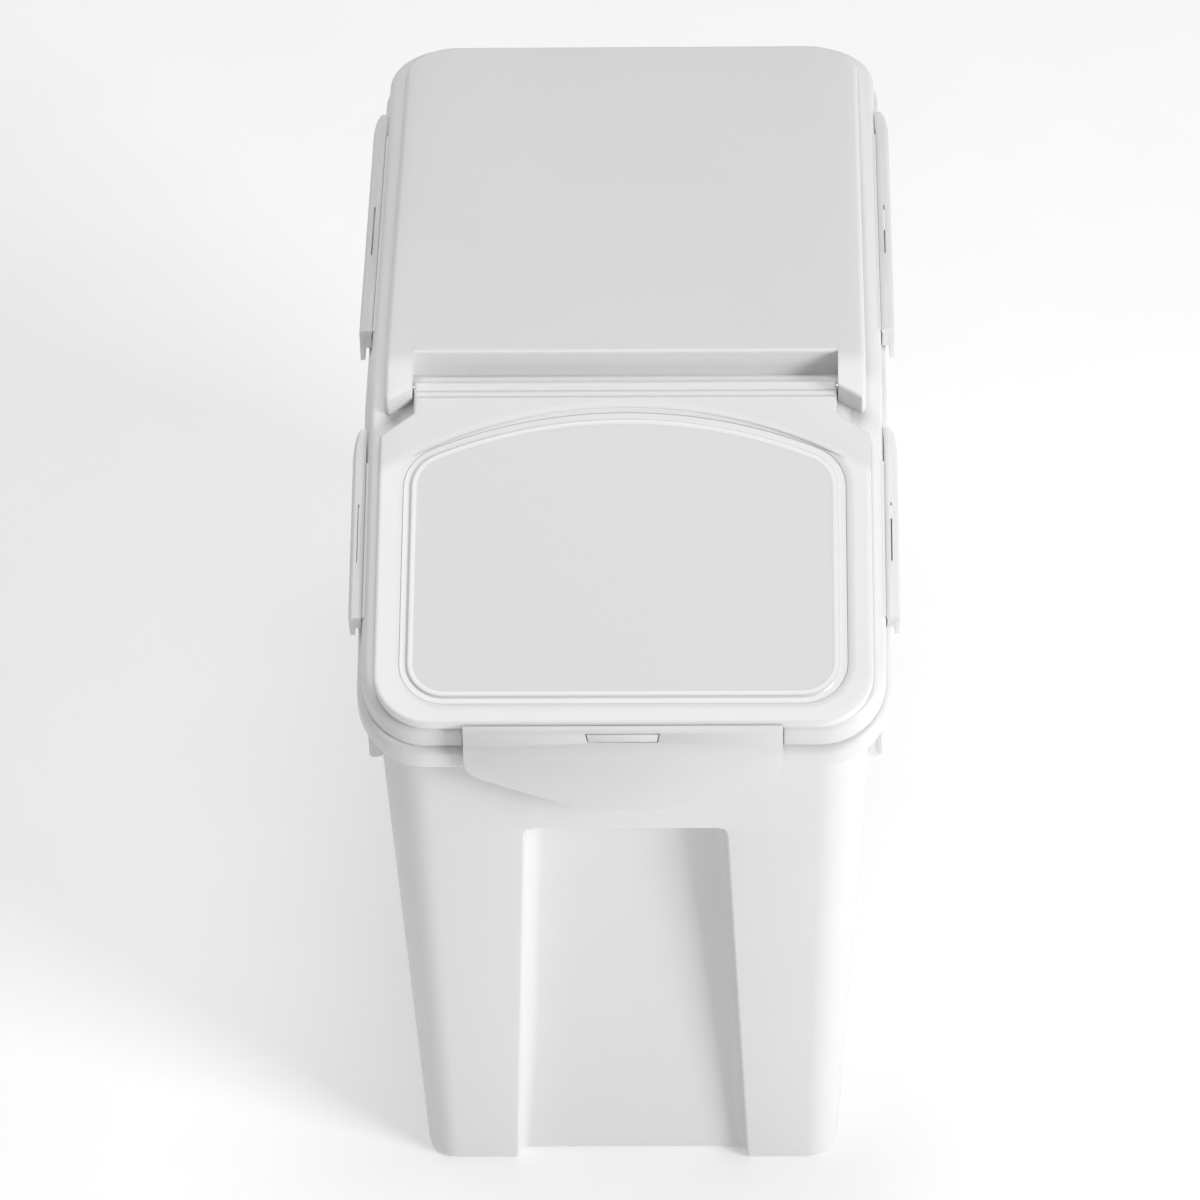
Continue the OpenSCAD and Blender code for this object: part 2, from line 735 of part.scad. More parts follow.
module wheel() {
    color(dark) translate([pod_x, pod_y, wheel_r]) rotate([0, 90, 0]) difference() {
        union() {
            translate([0, 0, -6]) cylinder(r = wheel_r, h = 12);
            translate([0, 0, -pod_hw + pod_wall + gap])
                cylinder(r = 3.6, h = 2 * (pod_hw - pod_wall - gap));
        }
        for (z = [-7, 4.5])
            translate([0, 0, z]) difference() {
                cylinder(r = wheel_r - 1.8, h = 2.5);
                translate([0, 0, -1]) cylinder(r = 3.6, h = 5);
            }
        translate([0, 0, -10]) cylinder(r = axle_r + run_fit, h = 20);
    }
}

module axle() {
    color(steel) translate([pod_x - pod_hw + gap, pod_y, wheel_r]) rotate([0, 90, 0])
        cylinder(r = axle_r, h = 2 * (pod_hw - gap));
}

bin_body();
lid_frame();
lid_gasket();
door();
door_window();
door_gasket();
mirror([1, 0, 0]) hinge_pin();  // hinge_pin_left
hinge_pin();  // hinge_pin_right
front_latch();
mirror([1, 0, 0]) rear_leaf();  // latch_left_rear
mirror([1, 0, 0]) front_leaf();  // latch_left_front
rear_leaf();  // latch_right_rear
front_leaf();  // latch_right_front
cup_holder();
measuring_cup();
mirror([1, 0, 0]) wheel();  // wheel_left
wheel();  // wheel_right
mirror([1, 0, 0]) axle();  // axle_left
axle();  // axle_right
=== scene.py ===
"""Looks of the rice bin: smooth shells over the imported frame, plastics, soft studio light, the photo's view."""
import math
import bmesh
import bpy
from mathutils import Matrix, Vector


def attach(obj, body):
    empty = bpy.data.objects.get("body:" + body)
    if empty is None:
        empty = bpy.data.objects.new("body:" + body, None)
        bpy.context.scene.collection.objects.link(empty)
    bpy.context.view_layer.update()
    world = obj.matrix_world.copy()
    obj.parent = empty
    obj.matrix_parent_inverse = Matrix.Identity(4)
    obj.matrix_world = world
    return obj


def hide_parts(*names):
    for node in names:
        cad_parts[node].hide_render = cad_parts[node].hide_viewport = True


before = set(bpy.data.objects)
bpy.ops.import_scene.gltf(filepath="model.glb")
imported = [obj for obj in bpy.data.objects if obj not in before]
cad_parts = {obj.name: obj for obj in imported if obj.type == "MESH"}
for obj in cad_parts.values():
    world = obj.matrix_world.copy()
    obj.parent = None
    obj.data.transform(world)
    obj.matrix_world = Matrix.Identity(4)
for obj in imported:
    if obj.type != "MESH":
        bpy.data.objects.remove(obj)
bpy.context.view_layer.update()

# Sizes are in millimetres, in the frame's own axes: x right, y rearwards, z up.
MM = 0.001
SLOPE = math.radians(21.6)
CS, SN, TN = math.cos(SLOPE), math.sin(SLOPE), math.tan(SLOPE)
# The crease lies at y = KY and z = RZ, and is rounded over KR to each side.
KY, RZ, KR = -37.5, 288.0, 4.0
# The rim: half width, front, rear and corner radius.
HW, YF, YR, RC = 89.6, -165.5, 170.0, 19.0
# The tub's wall, and how far below the rim the plain wall ends.
WALL, WALL_END = 2.2, 18.4
# How much narrower and shorter than the rim the foot is, on each side, and its corner radius.
IN_SIDE, IN_FRONT, IN_REAR, FOOT_R = 11.0, 9.7, 11.5, 12.0
# The rounding of the foot's edge.
FOOT_EDGE = 2.2
# The front recess: height, widths at foot and top, and depths at foot and top.
REC_H = 179.3
REC_FOOT, REC_TOP = 87.4, 73.0
REC_D0, REC_D1 = 5.5, 15.0
# Points on each rounded corner.
NA = 14


def deck(y):
    """Height of the rim at y."""
    if y >= KY + KR:
        return RZ
    if y <= KY - KR:
        return RZ - (KY - y) * TN
    return RZ - TN * (KY + KR - y) ** 2 / (4 * KR)


def on_slope(x, s, u):
    """s runs down the front slope from the crease, u stands square on it."""
    return (x, KY - s * CS - u * SN, RZ - s * SN + u * CS)


def arc(cx, cy, r, a0, a1, n=NA):
    """Points on an arc from angle a0 to a1, in degrees."""
    out = []
    for i in range(n + 1):
        a = math.radians(a0 + (a1 - a0) * i / n)
        out.append((cx + r * math.cos(a), cy + r * math.sin(a)))
    return out


def mesh_object(name, verts, faces, angle=32):
    me = bpy.data.meshes.new(name)
    me.from_pydata([(v[0] * MM, v[1] * MM, v[2] * MM) for v in verts], [], faces)
    me.validate()
    me.shade_smooth()
    me.set_sharp_from_angle(angle=math.radians(angle))
    ob = bpy.data.objects.new(name, me)
    bpy.context.scene.collection.objects.link(ob)
    return ob


def loft(name, rings, closed=False, caps=(True, True), angle=32):
    """A skin over rings of equal point counts, joined end to end or capped."""
    n, m = len(rings[0]), len(rings)
    verts = [p for r in rings for p in r]
    faces = []
    for k in range(m if closed else m - 1):
        for i in range(n):
            a, b = k * n + i, k * n + (i + 1) % n
            c, d = ((k + 1) % m) * n + (i + 1) % n, ((k + 1) % m) * n + i
            faces.append((a, b, c, d))
    if not closed and caps[0]:
        faces.append(tuple(range(n - 1, -1, -1)))
    if not closed and caps[1]:
        faces.append(tuple((m - 1) * n + i for i in range(n)))
    return mesh_object(name, verts, faces, angle)


def outward(ob):
    """Turns the faces of a closed mesh outwards."""
    bm = bmesh.new()
    bm.from_mesh(ob.data)
    bmesh.ops.recalc_face_normals(bm, faces=bm.faces)
    bm.to_mesh(ob.data)
    bm.free()
    return ob


def baked(ob):
    """Applies the modifiers of a piece."""
    dg = bpy.context.evaluated_depsgraph_get()
    me = bpy.data.meshes.new_from_object(ob.evaluated_get(dg))
    ob.modifiers.clear()
    ob.data = me
    return ob


def cut(ob, tool, op="DIFFERENCE"):
    """Cuts tool from ob, or joins or intersects them, and deletes tool."""
    outward(ob)
    outward(tool)
    mod = ob.modifiers.new("cut", "BOOLEAN")
    mod.operation = op
    mod.solver = "EXACT"
    mod.object = tool
    baked(ob)
    bpy.data.objects.remove(tool)
    return ob


def bevelled(ob, width, segments=3, angle=40):
    """Rounds the edges sharper than angle."""
    mod = ob.modifiers.new("edges", "BEVEL")
    mod.width = width * MM
    mod.segments = segments
    mod.limit_method = "ANGLE"
    mod.angle_limit = math.radians(angle)
    mod.harden_normals = False
    mod.use_clamp_overlap = True
    baked(ob)
    ob.data.shade_smooth()
    ob.data.set_sharp_from_angle(angle=math.radians(38))
    return ob


def prism(name, pts, place, a, b):
    """A flat outline pushed from a to b; place turns (p, q, depth) into x, y, z."""
    return loft(name, [[place(p, q, a) for p, q in pts], [place(p, q, b) for p, q in pts]])


def joined(name, parts, angle=32):
    """One mesh from several closed ones, left as they are."""
    verts, faces = [], []
    for ob in parts:
        base = len(verts)
        verts += [tuple(v.co) for v in ob.data.vertices]
        faces += [tuple(base + i for i in p.vertices) for p in ob.data.polygons]
        bpy.data.objects.remove(ob)
    return mesh_object(name, [(v[0] / MM, v[1] / MM, v[2] / MM) for v in verts], faces, angle)


# The tub

LO, HI = YF + RC, YR - RC
# The side grips: front and rear ends, depth of the hanging wall and radius of its lower corners.
GRIP0, GRIP1 = KY - 108.6, KY + 100.0
GRIP_DROP, GRIP_R = 35.0, 3.0
# Points along each side, packed closely at the crease and at the ends of the grips.
STATIONS = [HI - 40, GRIP1 + 3, GRIP1 + 2.7, GRIP1 + 2, GRIP1 + 1, GRIP1, 0, KY + 12, KY + KR]
STATIONS += [KY + KR * t for t in (0.75, 0.5, 0.25, 0, -0.25, -0.5, -0.75, -1)]
STATIONS += [KY - 12, -100, GRIP0 + 4, GRIP0 + 2.4, GRIP0 + 1.2, GRIP0 + 0.5, GRIP0]
SHARES = [(y - LO) / (HI - LO) for y in STATIONS]


def loop(hw, yf, yr, rf, rr, front):
    """A rounded outline with matching points at every size; front holds the points of its front side."""
    lo, hi = yf + rf, yr - rr
    out = [(0, yr)]
    out += arc(-hw + rr, yr - rr, rr, 90, 180)
    out += [(-hw, lo + t * (hi - lo)) for t in SHARES]
    out += arc(-hw + rf, yf + rf, rf, 180, 270)
    out += front
    out += arc(hw - rf, yf + rf, rf, 270, 360)
    out += [(hw, lo + t * (hi - lo)) for t in reversed(SHARES)]
    out += arc(hw - rr, yr - rr, rr, 0, 90)
    return out


# The recess's outer and inner edge radii, and the points on each.
RE, RI, NR = 1.3, 6.5, 8


def flat_front(w, y, t=0.0, back=0.0):
    """The front side without the recess; its middle can stand back."""
    half = [(w + t + RE * (1 - k / NR), y + t) for k in range(NR + 1)]
    half += [((w + t) * (1 - 0.42 * k / (NR + 2)), y + t + back) for k in range(1, NR + 3)]
    return [(-x, yy) for x, yy in half] + list(reversed(half))


def notch_front(w, y, d, t=0.0):
    """The front side with the recess, w to each side and d deep; t offsets it inwards."""
    ri = min(RI, d - RE - 0.2)
    re = max(RE - t, 0.15)
    half = arc(w + t + re, y + t + re, re, 270, 180, NR)
    half += arc(w - ri, y + d - ri, ri + t, 0, 90, NR)
    half = [(x, max(yy, y + t + 0.02 * k)) for k, (x, yy) in enumerate(half)]
    half.append((w * 0.55, y + d + t))
    return [(-x, yy) for x, yy in half] + list(reversed(half))


def rec_hw(z):
    """Half width of the recess at height z."""
    return (REC_FOOT + (REC_TOP - REC_FOOT) * z / REC_H) / 2


def rec_d(z):
    """Depth of the recess at height z."""
    return REC_D0 + (REC_D1 - REC_D0) * z / REC_H


def front_y(z):
    """The front wall's outer face at height z."""
    return YF + IN_FRONT * (1 - z / (deck(YF) - WALL_END))


# Where the front side starts in a loop.
FRONT_AT = 1 + (NA + 1) + len(SHARES) + (NA + 1)


def wall_ring(z, t, front):
    """The wall's outline at height z, offset inwards by t, between the foot's outline and the rim's."""
    b = loop(HW - IN_SIDE - t, YF + IN_FRONT + t, YR - IN_REAR - t, FOOT_R - t, FOOT_R - t, front)
    c = loop(HW - t, YF + t, YR - t, RC - t, RC - t, front)
    out = []
    for i, (p, q) in enumerate(zip(b, c)):
        m = i - FRONT_AT
        if 0 <= m < len(front):
            out.append((front[m][0], front[m][1], z))
        else:
            k = z / (deck(q[1]) - WALL_END)
            out.append((p[0] + (q[0] - p[0]) * k, p[1] + (q[1] - p[1]) * k, z))
    return out


def open_ring(z, t, w_cut=0.0, d_cut=0.0):
    """The wall at height z with the recess open in front, narrowed and made shallower by the cuts."""
    zz = min(z, REC_H)
    return wall_ring(z, t, notch_front(rec_hw(zz) - w_cut, front_y(z), rec_d(zz) - d_cut, t))


def shut_ring(z, t, w_cut=0.0, back=0.0):
    """The wall at height z above the recess."""
    return wall_ring(z, t, flat_front(rec_hw(min(z, REC_H)) - w_cut, front_y(z), t, back))


def floor_ring(z, t, back):
    """The floor's outline, straight across behind the recess."""
    k = z / RZ
    yf = front_y(z) + rec_d(z) + back
    pts = loop(HW - IN_SIDE * (1 - k) - t, yf, YR - IN_REAR * (1 - k) - t, FOOT_R - t, FOOT_R - t,
               flat_front(rec_hw(z), yf))
    return [(x, y, z) for x, y in pts]


def grip_at(x, y):
    """How far the grip's wall hangs down at a point of the rim."""
    if abs(x) < HW or y > GRIP1 + GRIP_R - 0.1 or y < GRIP0 - 0.1:
        return 0.0
    e = y - GRIP1 if y > GRIP1 else max(0.0, GRIP0 + GRIP_R - y)
    return GRIP_DROP - GRIP_R + math.sqrt(max(0, GRIP_R ** 2 - e * e))


def rim_pts(o, front):
    """The rim's outline from above, o outside its line."""
    return loop(HW + o, YF - o, YR + o, RC + o, RC + o, front)


def rim_ring(o, h, grip=0.0):
    """A ring along the rim, o outside its line and h below it; grip lets it hang with the grips."""
    front = flat_front(36.5, YF - o)
    return [(x, y, deck(y) - h - grip * grip_at(x, y)) for x, y in rim_pts(o, front)]


def profile_arc(co, ch, r, a0, a1, n=6):
    """Rim profile points (offset, depth); the angle is from outwards, turning upwards."""
    return [(co + r * math.cos(math.radians(a0 + (a1 - a0) * i / n)),
             ch - r * math.sin(math.radians(a0 + (a1 - a0) * i / n))) for i in range(n + 1)]


def make_tub():
    """The tub: one skin from the underside over the rim and down inside, with housings and catches."""
    # Underside, foot, outer wall with the recess
    rings = [floor_ring(13, WALL + 0.6, WALL + 0.4), open_ring(0.6, 2.8), open_ring(0, 2.6)]
    for i in range(6):
        a = math.radians(90 * i / 5)
        rings.append(open_ring(FOOT_EDGE * (1 - math.cos(a)), FOOT_EDGE * (1 - math.sin(a))))
    rings += [open_ring(z, 0) for z in (20, 60, 110, 150, REC_H - 4.5)]
    for i in range(7):
        a = math.radians(90 * i / 6)
        lean = 1 - math.cos(a)
        rings.append(open_ring(REC_H - 4 + 4 * math.sin(a), 0, 2 * lean, 4 * lean))
    rings += [shut_ring(REC_H + up, 0, 2, back) for up, back in ((0.1, 0.8), (0.3, 0.25), (0.9, 0))]
    # Grips, bead and the rim's upstand
    rings += [rim_ring(0, WALL_END), rim_ring(0, 12.2), rim_ring(0.5, 11.5), rim_ring(2, 11.4)]
    rings += [rim_ring(2, 11.5, 1), rim_ring(2.3, 11.7, 1), rim_ring(3.6, 11.7, 1), rim_ring(3.9, 11.5, 1)]
    rings += [rim_ring(3.9, 11.4), rim_ring(5.2, 11.4), rim_ring(5.2, 17.1), rim_ring(5.5, 17.4)]
    bead = profile_arc(5.8, 16.2, 1.2, -90, 0) + profile_arc(4.9, 11.5, 2.1, 0, 90)
    rings += [rim_ring(o, h) for o, h in bead]
    lip = [(3.2, 9.4), (2.9, 9.1), (2.9, 4.7), (2.4, 4.2), (1.4, 4.2), (0.9, 4.7), (0.9, 7.0),
           (-WALL, 10.5), (-WALL, WALL_END)]
    rings += [rim_ring(o, h) for o, h in lip]
    # Inner wall and floor
    rings += [shut_ring(REC_H + 2.8, WALL, 3), open_ring(REC_H + 2.2, WALL, 3, 2)]
    rings += [open_ring(z, WALL) for z in (REC_H - 3, 110, 60, 19)]
    rings += [floor_ring(16.6, WALL + 0.6, WALL + 0.6), floor_ring(16, WALL + 2, WALL + 2)]
    parts = [outward(loft("tub_shell", rings))]
    low = deck(GRIP0) - 11.4 - 34.6
    web = [(87.6, low + 2), (89.4, low + 0.5), (91.8, low), (92.8, low + 0.4),
           (93.35, low + 1.4), (93.35, low + 30), (87.6, low + 30)]
    for side in (-1, 1):
        parts += pod(side)
        end = [(side * x, z) for x, z in web]
        parts.append(outward(prism("web", end, lambda p, q, d: (p, d, q), GRIP0 + 0.1, GRIP0 + 1.7)))
        parts.append(block("catch", side * 96, side * 97.8, KY + 78, KY + 107, RZ - 15, RZ - 11.5))
        parts.append(sloped_block("catch", side * 96, side * 97.8, 52, 75, -15, -11.5))
    return joined("tub_smooth", parts)


def block(name, x0, x1, y0, y1, z0, z1):
    x0, x1 = min(x0, x1), max(x0, x1)
    pts = [(x0, y0), (x1, y0), (x1, y1), (x0, y1)]
    return bevelled(outward(prism(name, pts, lambda p, q, d: (p, q, d), z0, z1)), 0.35, 2)


def sloped_block(name, x0, x1, s0, s1, u0, u1):
    x0, x1 = min(x0, x1), max(x0, x1)
    pts = [(x0, s0), (x1, s0), (x1, s1), (x0, s1)]
    return bevelled(outward(prism(name, pts, on_slope, u0, u1)), 0.35, 2)


def pod(side):
    """The housing of one rear wheel: a box through the floor, open below."""
    x, y = 54.0 * side, KY + 178
    outer = block("pod", x - 10, x + 10, y - 14, y + 14, 5, 24)
    inner = prism("pod_in", [(x - 7.5, y - 11.5), (x + 7.5, y - 11.5), (x + 7.5, y + 11.5), (x - 7.5, y + 11.5)],
                  lambda p, q, d: (p, q, d), 0, 21.5)
    return [cut(outer, inner)]


# The lid

# The raised panel: half width, rear corner radius, ends, and its ears' inner sides.
PANEL_HW, PANEL_R = 88.5, 20.0
P_YF, P_YR = KY + 3.5, YR + 1.5
EAR_X = 78.3


def lid_ring(o, h):
    """A ring of the lid frame along the rim, o outside its line and h below it."""
    return [(x, y, deck(y) - h) for x, y in rim_pts(o, [(0, YF - o)])]


def edge_drop(x, hw=PANEL_HW, r=2.0):
    """How far the panel's rounded side edge falls at x."""
    e = max(0.0, abs(x) - (hw - r))
    return r - math.sqrt(max(0.0, r * r - e * e))


def panel_rear(x, hw, r, y):
    """Rear end of an outline with rounded corners, at x."""
    a = abs(x)
    return y if a <= hw - r else y - r + math.sqrt(max(0.0, r * r - (a - hw + r) ** 2))


def panel_top(y):
    """Height of the panel, which falls towards the rear."""
    return RZ + 3 + 8.0 * (P_YR - y) / (P_YR - P_YF)


def ear_end(x):
    """How far down the slope an ear reaches at x."""
    a, tip = abs(x), 87.0
    return 9 + 5.3 * (a - EAR_X) / (tip - EAR_X) if a <= tip else 14.3 - 0.8 * (a - tip) ** 2


def panel_side(x):
    """The panel's section at x, as (y, z): with the ear outside EAR_X, with the front wall inside it."""
    d = edge_drop(x)
    yr = panel_rear(x, PANEL_HW, PANEL_R, P_YR)
    foot = RZ - 1
    rear = []
    r = min(2.6, panel_top(yr) - d - foot - 0.3)
    for i in range(7):
        a = math.radians(90 * i / 6)
        y = yr - r * (1 - math.cos(a))
        rear.append((y, panel_top(yr - r) - d - r * (1 - math.sin(a))))
    if abs(x) > EAR_X:
        s, h = ear_end(x), 11 - d
        crest = [(KY + 3, panel_top(KY + 3) - d), (KY - h * math.tan(SLOPE / 2) + 0.8, RZ + h + 0.05),
                 on_slope(0, 1.6, h)[1:], on_slope(0, s - 3, h)[1:]]
        end = []
        for i in range(6):
            a = math.radians(90 * i / 5)
            end.append(on_slope(0, s - 1.4 * (1 - math.sin(a)), h - 1.4 * (1 - math.cos(a)))[1:])
        return [(KY, foot)] + [(yr, foot)] + rear + crest + end + [on_slope(0, s, -1)[1:]]
    top = panel_top(P_YF)
    crest = [(P_YF + 12, panel_top(P_YF + 12)), (P_YF + 8, panel_top(P_YF + 8)),
             (P_YF + 5, panel_top(P_YF + 5)), (P_YF + 3, panel_top(P_YF + 3))]
    end = []
    for i in range(6):
        a = math.radians(90 * i / 5)
        end.append((P_YF + 1.1 * (1 - math.sin(a)), top - 1.1 * (1 - math.cos(a))))
    return [(P_YF + 2, foot)] + [(yr, foot)] + rear + crest + end + [(P_YF, foot)]


def mirrored(half):
    """Stations from one side to the other."""
    return [-x for x in reversed(half) if x > 0] + half


def make_panel():
    """The raised panel with its ears, hollow from below."""
    flat = PANEL_HW - PANEL_R
    half = [0, 30, 60, flat] + [flat + PANEL_R * math.sin(math.radians(a)) for a in (6, 12, 18, 23, 28)]
    half += [EAR_X - 0.02, EAR_X + 0.02, 79, 80.5, 82, 83.5]
    half += [PANEL_HW - 2 + 2 * math.sin(math.radians(a)) for a in (0, 12, 24, 36, 48, 60, 70, 80, 90)]
    half = sorted(half)
    rings = [[(x, y, z) for y, z in panel_side(x)] for x in mirrored(half)]
    panel = loft("panel", rings, angle=36)
    hw, r = 85.7, 17.2
    half = [0, hw - r] + [hw - r + r * math.sin(math.radians(a)) for a in range(10, 91, 10)]
    y0 = P_YF + 2
    rings = []
    for x in mirrored(half):
        y1 = panel_rear(x, hw, r, P_YR - 2.8)
        rings.append([(x, y0, RZ - 4), (x, y1, RZ - 4), (x, y1, panel_top(y1) - 2), (x, y0, panel_top(y0) - 2)])
    return cut(panel, loft("hollow", rings))


def rounded(hw, y0, y1, r, n=NA):
    """A rectangle with rounded corners."""
    return (arc(hw - r, y1 - r, r, 0, 90, n) + arc(-hw + r, y1 - r, r, 90, 180, n)
            + arc(-hw + r, y0 + r, r, 180, 270, n) + arc(hw - r, y0 + r, r, 270, 360, n))


def radial(outline, cy, angles):
    """Distance from (0, cy) to a closed outline in each direction."""
    out = []
    n = len(outline)
    for t in angles:
        dx, dy = math.cos(t), math.sin(t)
        best = 0.0
        for i in range(n):
            x1, y1 = outline[i][0], outline[i][1] - cy
            x2, y2 = outline[(i + 1) % n][0], outline[(i + 1) % n][1] - cy
            ex, ey = x2 - x1, y2 - y1
            den = dx * ey - dy * ex
            if abs(den) < 1e-9:
                continue
            s = (x1 * ey - y1 * ex) / den
            v = (x1 * dy - y1 * dx) / den
            if s > 0 and -1e-7 <= v <= 1 + 1e-7:
                best = max(best, s)
        out.append(best)
    return out


def star_loft(name, cy, angles, levels, closed=True, angle=32):
    """A loft over outlines seen from one centre on the slope; levels are (radii, u)."""
    rings = []
    for radii, u in levels:
        rings.append([on_slope(r * math.cos(t), cy + r * math.sin(t), u) for r, t in zip(radii, angles)])
    return outward(loft(name, rings, closed=closed, angle=angle))


# Centre, down the slope, from which the deck's outlines are seen.
DECK_C = 66


def make_lid():
    """The lid frame: ring over the rim, deck with the scoop mouth, catch, strips and panel."""
    prof = [(3.2, 8.7), (3.5, 9.0), (4.8, 9.0), (5.2, 8.6)] + profile_arc(2.2, 3.0, 3.0, 0, 90, 8)
    prof += [(0.5, 0), (-6, 0), (-6, 2), (-0.9, 2), (-0.9, 6.2), (-0.6, 6.5), (0.2, 6.5), (0.5, 6.2),
             (0.5, 2), (3.2, 2)]
    rim = outward(loft("rim", [lid_ring(o, h) for o, h in prof], closed=True))
    angles = [math.radians(a) for a in range(0, 360, 3)]
    out = radial([(x, -y) for x, y in rounded(HW - 3.5, -133.5, 1.5, 13)], DECK_C, angles)
    m0 = radial(rounded(70, 27, 119, 12), DECK_C, angles)
    m1 = radial(rounded(71.6, 25.4, 120.6, 13.6), DECK_C, angles)
    m2 = radial(rounded(70.7, 26.3, 119.7, 12.7), DECK_C, angles)
    deck_part = star_loft("deck", DECK_C, angles, [
        (out, -1.75), (out, -0.15), (m1, -0.15), (m2, -0.3), (m0, -0.9), (m0, -6), (m1, -6), (m1, -1.75)])
    strip = block("strip", -84.1, 84.1, KY - 0.6, P_YF + 2, RZ - 1.7, RZ - 0.2)
    # The rim's roll is cut back behind the front latch, whose slot takes the catch.
    relief = block("relief", -57.9, 57.8, YF - 8, YF - 3.7, 225, 243)
    cut(rim, bevelled(relief, 0.5, 3))
    shelf = prism("shelf", [(YF - 3.4, 232.9), (YF - 10.1, 233.1), (YF - 10.1, 235.6), (YF - 3.4, 235.6)],
                  lambda p, q, d: (d, p, q), -12.3, 12.2)
    lip = [(-12.4, 233.2), (-12.1, 233.0), (12.0, 233.0), (12.3, 233.2), (12.9, 236.4), (-13.0, 236.4)]
    lip = prism("lip", lip, lambda p, q, d: (p, d, q), YF - 10.7, YF - 10.05)
    parts = [rim, deck_part, strip, outward(shelf), bevelled(outward(lip), 0.15, 2), make_panel()]
    # Raised strips beside the side latches close the gap to them.
    land = [(93.2, -1.4), (93.9, -0.75), (94.7, -0.8), (94.9, -1.0), (94.9, -2.7), (93.4, -2.7)]
    for side in (-1, 1):
        for place, a, b in ((on_level, 31.4, 154), (on_slope, 34, 98)):
            line = [(side * x, u) for x, u in land]
            parts.append(outward(prism("land", line, lambda p, q, d, f=place: f(p, d, q), a, b)))
    return joined("lid_smooth", parts, 36)


# The scoop door

# Centre from which the door's outlines are seen, down the slope.
PC = 78.0
# The pane: half width, front end, its corner radius, and the wide rear arc with its corners.
PANE_HW, PANE_S, PANE_R = 77.3, 132.0, 13.0
ARC_R, ARC_CORNER = 169.0, 14.0
ARC_S = 19.1 + ARC_R
# The door: half width, length, corner radius, and half width of its hinge tab.
DOOR_HW, DOOR_L, DOOR_R, TAB_HW = 90.0, 144.0, 21.0, 77.8
# The dished field of the door is a circle.
DISH_S, DISH_R = 172.4, 160.0


def pane_line(e):
    """The pane's outline grown by e: a rounded front, straight sides and one wide arc at the rear."""
    hw, r, f = PANE_HW + e, PANE_R + e, PANE_S + e
    big, rr = ARC_R + e, ARC_CORNER + e
    side_s = ARC_S - math.sqrt((big - rr) ** 2 - (hw - rr) ** 2)
    half = math.degrees(math.asin((hw - rr) / (big - rr)))
    pts = arc(hw - r, f - r, r, 0, 90, 20) + arc(-hw + r, f - r, r, 90, 180, 20)
    pts += arc(-hw + rr, side_s, rr, 180, 270 - half, 16)
    pts += arc(0, ARC_S, big, 270 - half, 270 + half, 60)[1:-1]
    return pts + arc(hw - rr, side_s, rr, 270 + half, 360, 16)


def door_line(e):
    """The door's outline shrunk by e: the tab, two shoulders and rounded front corners."""
    hw, r = DOOR_HW - e, DOOR_R - e
    pts = [(TAB_HW - e, 2.7 + e), (TAB_HW - e, 15.9 + 0.4 * e), (hw, 25.3 + 0.4 * e)]
    pts += arc(hw - r, DOOR_L - DOOR_R, r, 0, 90, 24)
    return pts + [(-x, s) for x, s in reversed(pts)]


def door_angles():
    """Directions for the door's rings, with one through each of its corners."""
    marks = []
    for line in (door_line(0), door_line(2)):
        for x, s in line[:4] + line[-4:]:
            marks.append(math.atan2(s - PC, x) % (2 * math.pi))
    marks += [math.radians(0.9 * i) for i in range(400)]
    marks.sort()
    out = [marks[0]]
    for a in marks[1:]:
        if a - out[-1] > 0.0012:
            out.append(a)
    return out


def make_door():
    """The door as one closed skin: underside, edge, dished field, pane's seat; grooves are cut after."""
    ang = door_angles()
    d = {e: radial(door_line(e), PC, ang) for e in (0, 0.1, 0.4, 0.9, 1.3, 2, 3.0)}
    p = {e: radial(pane_line(e), PC, ang) for e in (-1.3, 3.6, 4.0, 5.2, 5.7, 6.0, 6.7)}
    dish = radial(arc(0, DISH_S, DISH_R, 180, 540, 240), PC, ang)
    dish_a = [min(a, b) for a, b in zip(d[2], dish)]
    dish_b = [min(a, b - 1.1) for a, b in zip(d[3.0], dish)]
    ring_a = [min(a, b - 0.12) for a, b in zip(p[6.7], dish_b)]
    ring_b = [min(a, b - 0.12) for a, b in zip(p[6.0], ring_a)]
    levels = [
        (p[-1.3], 1.9), (p[-1.3], 0.9), (p[5.7], 0.9), (p[5.7], 2.4), (d[2], 2.4), (d[2], 0.5), (d[1.3], 0.4),
        (d[0.4], 0.4), (d[0], 0.8), (d[0], 3.5), (d[0.1], 3.9), (d[0.4], 4.25), (d[0.9], 4.45), (d[1.3], 4.5),
        (dish_a, 4.49), (dish_b, 4.3), (ring_a, 4.26), (ring_b, 4.16), (p[5.2], 3.98), (p[4.0], 3.66),
        (p[3.6], 3.5), (p[3.6], 1.95)]
    door = star_loft("door_smooth", PC, ang, levels, angle=24)
    # Two grooves across the hinge tab
    for s in (7.0, 9.4):
        line = [(s - 0.45, 4.9), (s - 0.45, 4.4), (s, 4.15), (s + 0.45, 4.4), (s + 0.45, 4.9)]
        cut(door, prism("line", line, lambda p, q, d: on_slope(d, p, q), -80, 80))
    door.data.shade_smooth()
    door.data.set_sharp_from_angle(angle=math.radians(24))
    return door


def make_window():
    """The pane with its raised border."""
    ang = door_angles()
    p = {e: radial(pane_line(e), PC, ang) for e in (3.5, 3.3, 1.2, 0.9, 0.5, 0.0, -0.5, -1.0, -1.8, -2.4)}
    levels = [
        (p[3.5], 2.05), (p[3.5], 3.25), (p[3.3], 3.4), (p[1.2], 3.02), (p[0.9], 3.2), (p[0.5], 3.76),
        (p[0.0], 3.9), (p[-0.5], 3.9), (p[-1.0], 3.8), (p[-1.8], 3.66), (p[-2.4], 3.64)]
    return star_loft("window_smooth", PC, ang, levels, closed=False, angle=30)


# The latches

